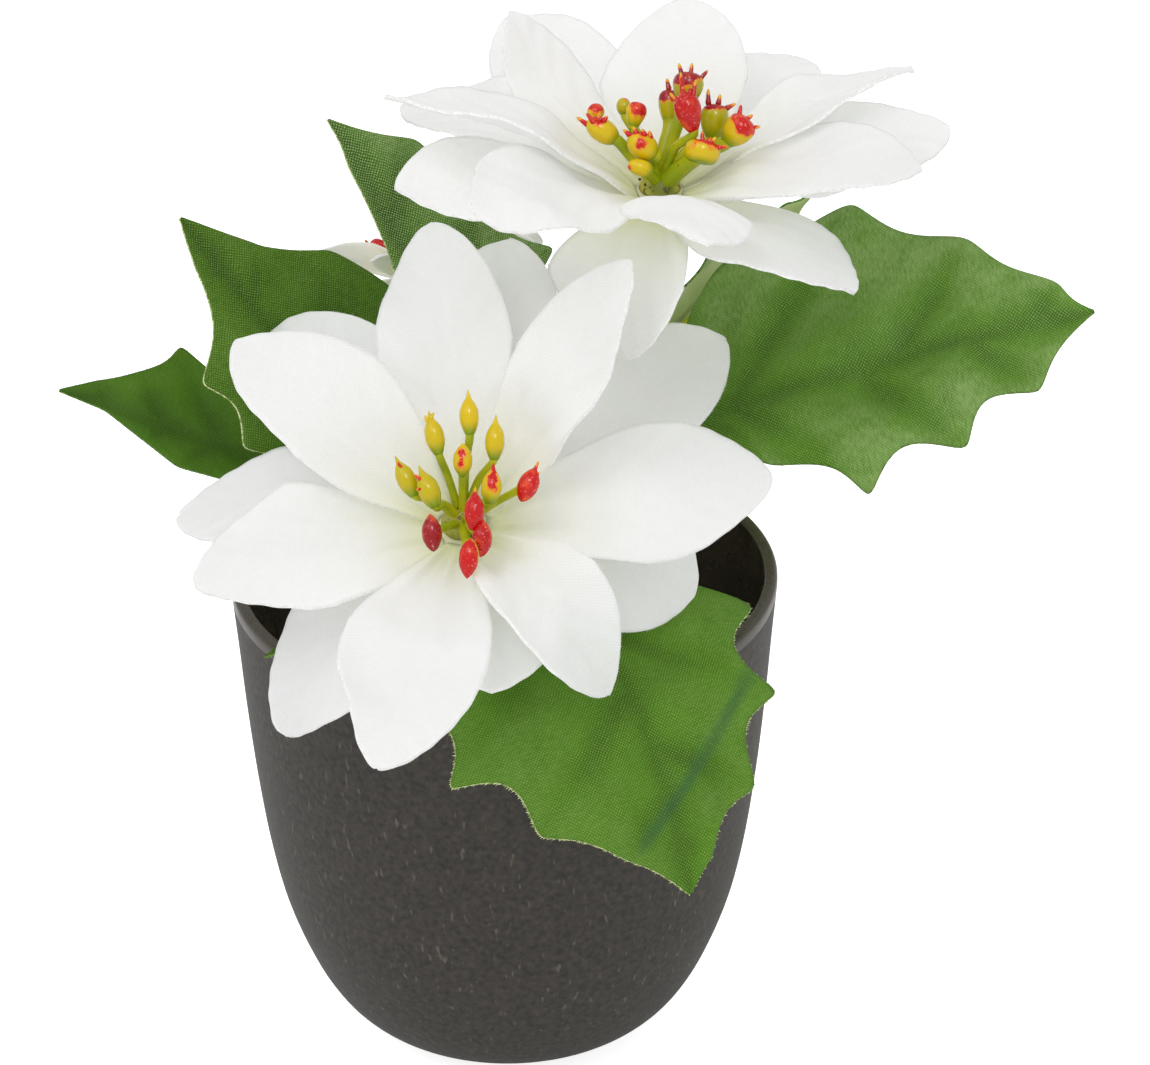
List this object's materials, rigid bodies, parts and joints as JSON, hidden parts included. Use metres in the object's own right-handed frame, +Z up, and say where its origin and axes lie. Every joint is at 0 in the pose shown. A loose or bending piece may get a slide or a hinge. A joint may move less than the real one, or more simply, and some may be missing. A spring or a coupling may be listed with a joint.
{
  "type": "artificial poinsettia in a pot",
  "caption": "Artificial poinsettia with white fabric petals, moulded cyathia and green cut-edged fabric leaves on moulded stems, standing in a dark round-bottomed pot.",
  "frame": {"origin": "middle of the pot's flat base, on the surface it stands on", "axes": "+Z up, +X to the right and +Y to the back, seen from the side that the low bloom faces"},
  "size_m": [0.1277, 0.1221, 0.1298],
  "materials": {
    "pot": "matt, finely mottled dark grey outside, glossier and darker inside",
    "filler": "dull dark plug",
    "moulding": "satin yellow-green moulding",
    "petal": "white woven fabric, veined, faintly green at the hub",
    "leaf": "printed green woven fabric with pale frayed cut edges and embossed veins",
    "cyathia": "satin moulding, yellow-green stalks and yellow buds painted red"
  },
  "bodies": {
    "root": {"pot": "pot", "filler": "filler", "front_stem": "moulding", "front_petals_lower": "petal", "front_petals_upper": "petal", "front_cyathia": "cyathia", "top_stem": "moulding", "top_petals_lower": "petal", "top_petals_upper": "petal", "top_cyathia": "cyathia", "back_stem": "moulding", "back_petals_lower": "petal", "back_petals_upper": "petal", "back_cyathia": "cyathia", "leaf_front_drape": "leaf", "leaf_front_left": "leaf", "leaf_mid_left": "leaf", "leaf_right_broad": "leaf", "leaf_back_upright": "leaf", "leaf_tall_left": "leaf", "leaf_left_small": "leaf", "leaf_back_low": "leaf", "leaf_back_side": "leaf"}
  },
  "joints": []
}
